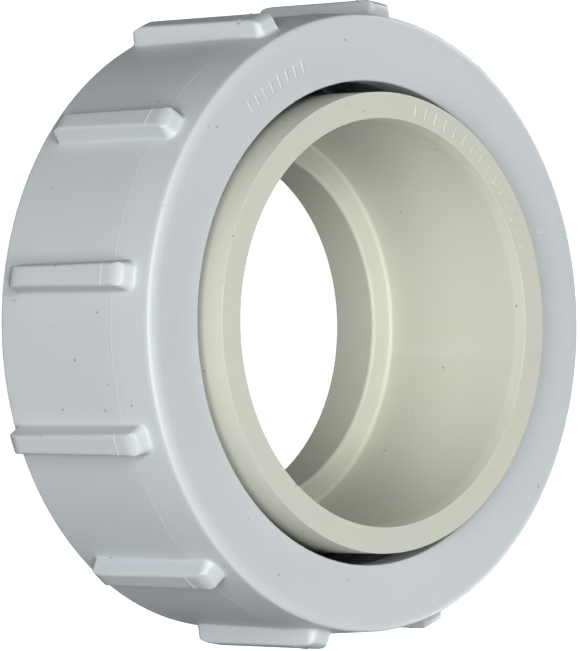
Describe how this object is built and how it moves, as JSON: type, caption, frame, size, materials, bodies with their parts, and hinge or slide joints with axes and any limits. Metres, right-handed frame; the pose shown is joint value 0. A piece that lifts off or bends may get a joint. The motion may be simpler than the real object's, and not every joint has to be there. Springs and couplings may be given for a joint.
{
  "type": "half union fitting",
  "caption": "Half union: a ribbed union nut turning loosely on a flanged pipe-socket tailpiece with a face-seal ring.",
  "frame": {"origin": "on the common axis of nut and tailpiece, in the plane that the fitting stands on, which the O-ring touches", "axes": "+Z along the axis, from the threaded rear end towards the mouth of the pipe socket; one grip rib stands over +X"},
  "size_m": [0.098, 0.098, 0.0368],
  "materials": {
    "nut_pvc": "moulded PVC, cool grey-white, satin",
    "tail_pvc": "moulded PVC, ivory, satin",
    "seal_rubber": "black moulded rubber"
  },
  "bodies": {
    "tailpiece": {"tailpiece": "tail_pvc", "o_ring": "seal_rubber"},
    "nut": {"union_nut": "nut_pvc"}
  },
  "joints": [
    {"name": "nut_turn", "type": "hinge", "parent": "tailpiece", "child": "nut", "pos_m": [0, 0, 0.016], "axis": [0, 0, 1], "continuous": true}
  ]
}
